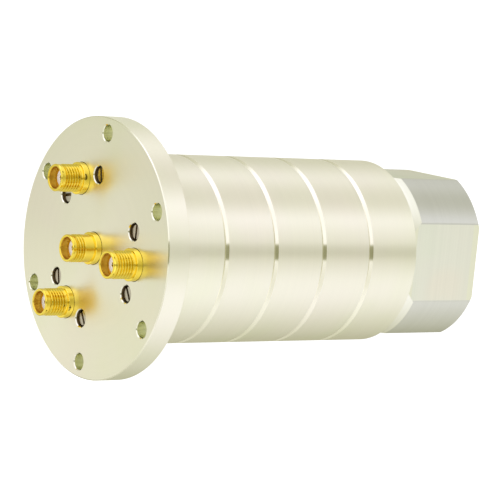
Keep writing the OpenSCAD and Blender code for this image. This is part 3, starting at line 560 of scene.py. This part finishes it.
def block_finish(name, finish):
    """The rotor block's metal: milled flats that turn straw-coloured towards both ends, greyer turned
    arcs with painted shade that darkens them upwards, and a painted highlight that brightens the cone and
    chamfer."""
    made, tree, shader = material(name, Metallic=1.0, Anisotropic=0.5, Anisotropic_Rotation=0.25)
    place = axes(tree, add(tree, "ShaderNodeTexCoord").outputs["Object"])
    lines = use(tree, "Lathe lines", {"Density": 1800.0})
    low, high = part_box("rotor_block")
    middle, half = (low[0] + high[0]) / 2, (high[0] - low[0]) / 2
    from_end = calc(tree, "SUBTRACT", half, calc(tree, "ABSOLUTE", calc(tree, "SUBTRACT", place[0], middle)))
    at_end = spread(tree, from_end, STRAW_FROM, STRAW_TO)
    tint = clouded(tree, finish.flat, (1.03, 0.99, 0.98), (0.97, 1.0, 0.97))
    flat = blend(tree, at_end, tint, tinted(finish.flat, 1.02, 1.02, 0.93))
    # Painted shade: the arcs are darker towards the top and lighter towards the bottom
    arc = scaled(tree, finish.arc, spread(tree, place[2], ARC_SHADE_LOW, ARC_SHADE_HIGH, 1.1, 0.9))
    on_arc = spread(tree, from_shaft(tree, place), FLAT_REACH, ARC_FROM)
    sides = blend(tree, on_arc, flat, arc)
    # Painted highlight: the cone and chamfers get a brighter colour
    colour = blend(tree, lines["Chamfer"], sides, tinted(finish.flat, 1.04, 1.03, 1.02))
    feed(tree, shader, {
        "Base Color": varied(tree, colour, lines["Shade"], 0.97, 1.02),
        "Roughness": spread(tree, lines["Shade"], 0.25, 0.75, 0.27, 0.33),
    })
    draw_out(tree, shader)
    bump(tree, shader, lines["Height"], 0.1, TURNED_RELIEF)
    return made


def shade_holes(made, colour):
    """Painted shade on the walls of the flange's drilled holes: dark brown in the screw recesses, a slightly
    darker greenish colour in the bolt holes.
    """
    tree, shader = made.node_tree, made.node_tree.nodes["Principled BSDF"]
    coords = add(tree, "ShaderNodeTexCoord").outputs
    r = from_shaft(tree, axes(tree, coords["Object"]))
    wall = calc(tree, "LESS_THAN", calc(tree, "ABSOLUTE", axes(tree, coords["Normal"])[0]), WALL)
    recess = calc(tree, "MULTIPLY", wall, calc(tree, "LESS_THAN", r, RECESS_REACH))
    beyond, within = calc(tree, "GREATER_THAN", r, BOLTS_FROM), calc(tree, "LESS_THAN", r, BOLTS_TO)
    bolts = calc(tree, "MULTIPLY", wall, calc(tree, "MULTIPLY", beyond, within))
    plain = shader.inputs["Base Color"].links[0].from_socket
    # Painted shade: the screw recess walls are darkened to a deep brown
    recess_shaded = blend(tree, recess, plain, tinted(colour, 0.3, 0.24, 0.16))
    # Painted shade: the bolt hole walls get a slightly darker, greener colour
    green = blend(tree, bolts, recess_shaded, tinted(colour, 0.92, 0.96, 0.78))
    feed(tree, shader, {"Base Color": green})


def dress(made, *names):
    """Gives a finish to CAD nodes."""
    for name in names:
        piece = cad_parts[name]
        if piece.material_slots:
            for slot in piece.material_slots:
                slot.material = made
        else:
            piece.data.materials.append(made)


def nodes_with(*parts):
    """The CAD nodes whose names hold one of the given parts."""
    return [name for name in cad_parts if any(part in name for part in parts)]


# ---------------------------------------------------------------- operators


class SLIPRING_OT_housings(bpy.types.Operator):
    """Finishes the flange and the stacked housings in fine-turned chromated aluminium."""

    bl_idname = "slipring.housings"
    bl_label = "Flange and housings"

    def execute(self, context):
        colour = settings()[1].aluminium
        made = turned_finish(
            "flange_aluminium", colour, face_rough=0.31, anisotropy=0.75, grooves=0.05, density=5200.0)
        shade_holes(made, colour)
        dress(made, "mounting_flange")
        dress(turned_finish("barrel_aluminium", colour), *nodes_with("_housing"))
        return {"FINISHED"}


class SLIPRING_OT_rotor_block(bpy.types.Operator):
    """Finishes the rotor block, whose flats are milled and whose arcs are turned, and its end plate."""

    bl_idname = "slipring.rotor_block"
    bl_label = "Rotor block"

    def execute(self, context):
        finish = settings()[1]
        dress(block_finish("block_aluminium", finish), "rotor_block")
        dress(turned_finish("plate_aluminium", finish.aluminium, rough=0.28), "rotor_end_plate")
        return {"FINISHED"}


def jack_on(node, face, facing, back, foot, stations, phase):
    """The gold jack for a CAD node, on that node's axis, with its mouth in front of the given face."""
    low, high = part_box(node)
    centre = (face, (low[1] + high[1]) / 2, (low[2] + high[2]) / 2)
    made = jack("threaded_" + node, centre, facing, settings()[0], back, foot, stations, phase)
    made.data.materials.append(gold_material())
    return made


class SLIPRING_OT_flange_jacks(bpy.types.Operator):
    """Builds the four threaded jacks that stand on the mounting flange."""

    bl_idname = "slipring.flange_jacks"
    bl_label = "Flange jacks"

    def execute(self, context):
        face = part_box("mounting_flange")[0][0]
        # The centre jack goes on behind the flange as a thin neck; the others have a wider foot in it
        centre = {"back": 7.3, "foot": [(1.2, 3.7), (1.2, 2.8), (7.3, 2.8)], "stations": (0.9, 1.15, 3.45)}
        outer = {"back": 5.8, "foot": [(3.8, 3.7), (3.8, 4.5), (5.8, 4.5)], "stations": (1.15, 1.4, 5.6)}
        for number in (1, 2, 3, 4):
            node = "flange_jack_%d" % number
            made = jack_on(node, face, -1, phase=0.8 * number, **(centre if number == 1 else outer))
            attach(made, "stator")
            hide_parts(node)
        return {"FINISHED"}


class SLIPRING_OT_rotor_jacks(bpy.types.Operator):
    """Builds the four threaded jacks on the rotor's end plate."""

    bl_idname = "slipring.rotor_jacks"
    bl_label = "Rotor jacks"

    def execute(self, context):
        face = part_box("rotor_end_plate")[1][0]
        foot = [(1.2, 3.7), (1.2, 2.8), (4, 2.8)]
        for number in (1, 2, 3, 4):
            node = "rotor_jack_%d" % number
            made = jack_on(node, face, 1, back=4, foot=foot, stations=(0.5, 0.7, 5.65), phase=1.7 * number)
            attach(made, "rotor")
            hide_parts(node)
        return {"FINISHED"}


class SLIPRING_OT_small_parts(bpy.types.Operator):
    """Finishes the screws, insulators, contacts and everything inside the body."""

    bl_idname = "slipring.small_parts"
    bl_label = "Screws, contacts and inner parts"

    def execute(self, context):
        gold = plain_finish("contact_gold", settings()[1].gold, 0.2, 1.0)
        dress(gold, "flange_contacts", "rotor_contacts")
        ptfe = plain_finish("ptfe", (0.9, 0.86, 0.84), 0.45, Specular_IOR_Level=0.4)
        dress(ptfe, "flange_insulators", "rotor_insulators")
        steel = plain_finish("screw_steel", (0.56, 0.51, 0.42), 0.24, 1.0, scale=900.0)
        dress(steel, "flange_screws", "end_plate_screws")
        dark = plain_finish("dark_steel", (0.12, 0.12, 0.125), 0.38, 1.0)
        dress(dark, "housing_screws", "shaft_screws", "shaft_locknut", "front_circlip", "rear_circlip")
        copper = plain_finish("tinned_copper", (0.82, 0.62, 0.45), 0.3, 1.0)
        dress(copper, *nodes_with("_lead_", "centre_line"))
        dress(plain_finish("silver_plate", (0.88, 0.87, 0.84), 0.25, 1.0), *nodes_with("_coupler_"))
        nylon = plain_finish("cage_nylon", (0.72, 0.66, 0.48), 0.45)
        dress(nylon, "front_bearing_cage", "rear_bearing_cage")
        dress(plain_finish("seal_rubber", (0.025, 0.025, 0.026), 0.6), "shaft_seal")
        ground = turned_finish("ground_steel", (0.76, 0.77, 0.78), rough=0.2, grooves=0.05)
        dress(ground, *nodes_with("_bearing_outer", "_bearing_inner", "spacer", "rotor_shaft"))
        balls = plain_finish("ball_steel", (0.80, 0.81, 0.82), 0.08, 1.0, depth=0.01)
        dress(balls, "front_bearing_balls", "rear_bearing_balls")
        return {"FINISHED"}


def area_lamp(scene, name, width, height, power, place):
    """A rectangular lamp that shines straight down."""
    light = bpy.data.lights.new(name, "AREA")
    light.shape, light.size, light.size_y, light.energy = "RECTANGLE", width, height, power
    lamp = bpy.data.objects.new(name, light)
    lamp.location = place
    scene.collection.objects.link(lamp)
    return lamp


def band_colour(tree, factor, bands):
    """The grey of a list of (half angle, level) bands, with the angles spread over a factor of 0 to 1."""
    made = add(tree, "ShaderNodeValToRGB", {"Fac": factor})
    stops = made.color_ramp.elements
    while len(stops) < len(bands):
        stops.new(0.5)
    for stop, (angle, level) in zip(stops, bands):
        held = level / LEVEL_SCALE
        stop.position = (angle + 90) / 180
        stop.color = (held, held, held, 1)
    return made.outputs["Color"]


class SLIPRING_OT_stage(bpy.types.Operator):
    """Builds the pale floor, the soft studio and the camera."""

    bl_idname = "slipring.stage"
    bl_label = "Stage, light and camera"

    def execute(self, context):
        scene, stage = context.scene, settings()[2]
        scene.view_settings.view_transform = "Standard"
        self.studio(scene)
        z = CAD_BOX[0][2] - stage.floor_drop
        corners = [(x * FLOOR_HALF, y * FLOOR_HALF, z) for x, y in ((-1, -1), (1, -1), (1, 1), (-1, 1))]
        mesh = bpy.data.meshes.new("floor")
        mesh.from_pydata(corners, [], [(0, 1, 2, 3)])
        floor = bpy.data.objects.new("floor", mesh)
        scene.collection.objects.link(floor)
        floor.visible_glossy = False
        pale, _, shader = material("pale_floor", Roughness=0.9, Emission_Strength=0.35)
        shader.inputs["Base Color"].default_value = (0.95, 0.95, 0.95, 1)
        shader.inputs["Emission Color"].default_value = (1, 1, 1, 1)
        mesh.materials.append(pale)
        over = area_lamp(scene, "overhead", 1.6, 1.6, 12, (0.0, -0.2, 1.4))
        over.visible_glossy = False
        # A small lamp in front of the flange, on its far side, lights the walls of the holes
        fill = area_lamp(scene, "low_fill", 0.16, 0.07, 0.007, FILL_PLACE)
        fill.rotation_euler = Vector((-FILL_PLACE.x, -FILL_PLACE.y, 0)).to_track_quat("-Z", "Y").to_euler()
        fill.visible_camera = False
        self.camera(scene, stage)
        return {"FINISHED"}

    def studio(self, scene):
        """Light from all round, in bands along the shaft line; what the camera sees of it is white."""
        world = bpy.data.worlds.new("studio")
        scene.world = world
        world.use_nodes = True
        tree = world.node_tree
        x, y, z = axes(tree, add(tree, "ShaderNodeTexCoord").outputs["Generated"])
        angle = calc(tree, "ARCTAN2", z, calc(tree, "MULTIPLY", y, -1.0))
        factor = calc(tree, "MULTIPLY_ADD", angle, 1 / TURN, 0.5)
        rear, middle, front = (
            band_colour(tree, factor, bands) for bands in (REAR_LIGHT, MIDDLE_LIGHT, FRONT_LIGHT)
        )
        front = blend(tree, spread(tree, x, *FRONT_TO_MIDDLE, smooth=True), front, middle)
        grey = blend(tree, spread(tree, x, *MIDDLE_TO_REAR, smooth=True), front, rear)
        held = add(tree, "ShaderNodeSeparateColor", {0: grey}).outputs[0]
        level = calc(tree, "MULTIPLY", held, LEVEL_SCALE)
        near = calc(tree, "LESS_THAN", y, 0.0)
        for centre, half, depth in DARK_OVALS:
            across = calc(tree, "MULTIPLY_ADD", x, 1 / half[0], -centre[0] / half[0])
            up = calc(tree, "MULTIPLY_ADD", z, 1 / half[1], -centre[1] / half[1])
            out = calc(tree, "ADD", calc(tree, "POWER", across, 2.0), calc(tree, "POWER", up, 2.0))
            inside = calc(tree, "MULTIPLY", spread(tree, out, *OVAL_EDGE, smooth=True), near)
            level = calc(tree, "MULTIPLY", level, calc(tree, "MULTIPLY_ADD", inside, -depth, 1.0))
        on, off = (spread(tree, x, *edge, smooth=True) for edge in (BELT_START, BELT_END))
        gain = calc(tree, "MULTIPLY_ADD", calc(tree, "MULTIPLY", on, off), BELT_GAIN, 1.0)
        level = calc(tree, "MULTIPLY", level, gain)
        level = calc(tree, "MULTIPLY", level, spread(tree, x, *AHEAD, 1.0, AHEAD_LEVEL, smooth=True))
        blue = calc(tree, "POWER", level, BLUE_POWER)
        room = add(tree, "ShaderNodeCombineColor", {0: level, 1: level, 2: blue}).outputs[0]
        seen = add(tree, "ShaderNodeLightPath").outputs["Is Camera Ray"]
        feed(tree, tree.nodes["Background"], {"Color": blend(tree, seen, room, BACKDROP), "Strength": 1.0})

    def camera(self, scene, stage):
        """A long lens at the given azimuth, elevation and roll, aimed at a point on the shaft line."""
        a, e, roll = stage.azimuth, stage.elevation, stage.roll
        back = Vector((math.sin(a) * math.cos(e), -math.cos(a) * math.cos(e), math.sin(e)))
        right = Vector((math.cos(a), math.sin(a), 0))
        up = back.cross(right)
        x_axis = right * math.cos(roll) + up * math.sin(roll)
        y_axis = up * math.cos(roll) - right * math.sin(roll)
        turn = Matrix((x_axis, y_axis, back)).transposed()
        lens = bpy.data.cameras.new("camera")
        lens.sensor_width, lens.lens = 36, stage.lens
        lens.shift_x, lens.shift_y = stage.shift
        lens.clip_start, lens.clip_end = 0.01, 20
        camera = bpy.data.objects.new("camera", lens)
        camera.matrix_world = Matrix.Translation(Vector(stage.aim) + back * stage.distance) @ turn.to_4x4()
        scene.collection.objects.link(camera)
        scene.camera = camera


# ---------------------------------------------------------------- add-on


OPERATORS = [
    SLIPRING_OT_housings, SLIPRING_OT_rotor_block, SLIPRING_OT_flange_jacks, SLIPRING_OT_rotor_jacks,
    SLIPRING_OT_small_parts, SLIPRING_OT_stage,
]


class SLIPRING_PT_panel(bpy.types.Panel):
    """The slip ring's sizes, colours and pieces."""

    bl_idname = "SLIPRING_PT_panel"
    bl_label = "Slip ring"
    bl_space_type = "VIEW_3D"
    bl_region_type = "UI"
    bl_category = "Slip ring"

    def draw(self, context):
        for values in settings():
            for key in values.bl_rna.properties.keys():
                if key not in ("rna_type", "name"):
                    self.layout.prop(values, key)
        for operator in OPERATORS:
            self.layout.operator(operator.bl_idname)


GROUPS = {"slipring_jacks": SlipRingJacks, "slipring_finish": SlipRingFinish, "slipring_stage": SlipRingStage}


def register():
    for kind in [*GROUPS.values(), *OPERATORS, SLIPRING_PT_panel]:
        bpy.utils.register_class(kind)
    for key, kind in GROUPS.items():
        setattr(bpy.types.Scene, key, PointerProperty(type=kind))


def unregister():
    for key in GROUPS:
        delattr(bpy.types.Scene, key)
    for kind in reversed([*GROUPS.values(), *OPERATORS, SLIPRING_PT_panel]):
        bpy.utils.unregister_class(kind)


def main():
    """Registers the add-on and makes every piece."""
    register()
    make_groups()
    bpy.ops.slipring.housings()
    bpy.ops.slipring.rotor_block()
    bpy.ops.slipring.flange_jacks()
    bpy.ops.slipring.rotor_jacks()
    bpy.ops.slipring.small_parts()
    bpy.ops.slipring.stage()


if __name__ == "__main__":
    main()
